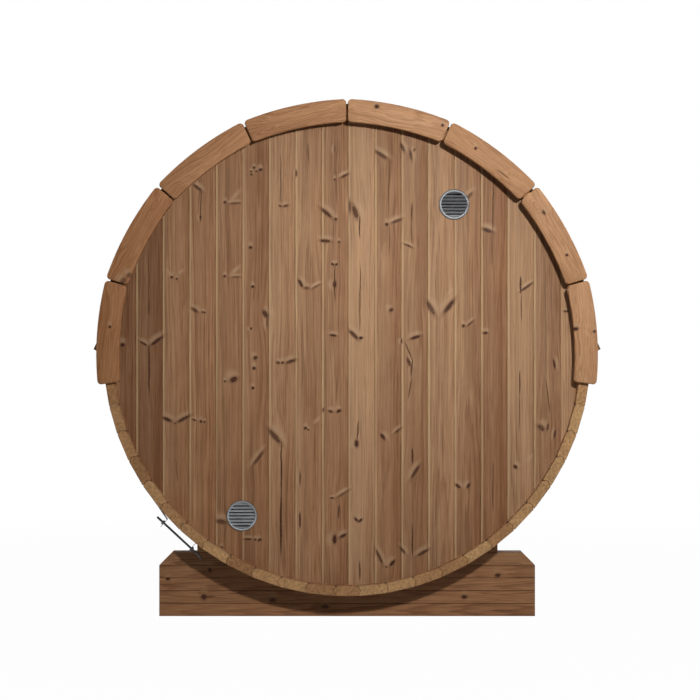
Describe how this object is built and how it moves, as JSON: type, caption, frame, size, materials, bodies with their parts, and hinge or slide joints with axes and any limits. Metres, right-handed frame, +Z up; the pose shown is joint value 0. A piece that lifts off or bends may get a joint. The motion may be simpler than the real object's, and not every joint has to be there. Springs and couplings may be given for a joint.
{
  "type": "barrel sauna",
  "caption": "Lying barrel cabin of coopered wood staves on laminated cradles, with boarded end walls, louvred vents, steel hoops, curved end trim and a dark lapped roof.",
  "frame": {"origin": "ground level, at the centre of the footprint", "axes": "+Z up, +Y along the barrel from the plain rear end to the door end, +X to the right seen from behind the rear end"},
  "size_m": [2.0718, 2.5566, 2.1318],
  "materials": {
    "stave_wood": "heat-treated softwood, planed and oiled",
    "board_wood": "heat-treated softwood, planed and oiled",
    "trim_wood": "heat-treated softwood, planed and oiled",
    "cradle_wood": "glued laminated softwood, dark oiled",
    "hoop_steel": "plain steel strap and threaded rod",
    "vent_metal": "satin",
    "hinge_steel": "black powder coat",
    "roofing": "black mineral-faced bitumen"
  },
  "bodies": {
    "root": {"bottom_stave": "stave_wood", "left_lower_staves": "stave_wood", "left_middle_staves": "stave_wood", "left_upper_staves": "stave_wood", "right_lower_staves": "stave_wood", "right_middle_staves": "stave_wood", "right_upper_staves": "stave_wood", "crown_stave": "stave_wood", "rear_wall": "board_wood", "front_wall_left": "board_wood", "front_wall_right": "board_wood", "front_wall_head": "board_wood", "front_wall_sill": "board_wood", "upper_vent": "vent_metal", "lower_vent": "vent_metal", "door_frame": "trim_wood", "door_leaf": "board_wood", "door_ledges": "board_wood", "door_hinges": "hinge_steel", "door_handle": "trim_wood", "rear_trim_left_1": "trim_wood", "rear_trim_left_2": "trim_wood", "rear_trim_left_3": "trim_wood", "rear_trim_left_4": "trim_wood", "rear_trim_right_1": "trim_wood", "rear_trim_right_2": "trim_wood", "rear_trim_right_3": "trim_wood", "rear_trim_right_4": "trim_wood", "front_trim_left": "trim_wood", "front_trim_right": "trim_wood", "rear_hoop": "hoop_steel", "rear_hoop_rod": "hoop_steel", "rear_hoop_nuts": "hoop_steel", "front_hoop": "hoop_steel", "front_hoop_rod": "hoop_steel", "front_hoop_nuts": "hoop_steel", "roof_left": "roofing", "roof_right": "roofing", "roof_cap": "roofing", "eaves_batten_left": "trim_wood", "eaves_batten_right": "trim_wood", "rear_cradle": "cradle_wood", "front_cradle": "cradle_wood"}
  },
  "joints": []
}
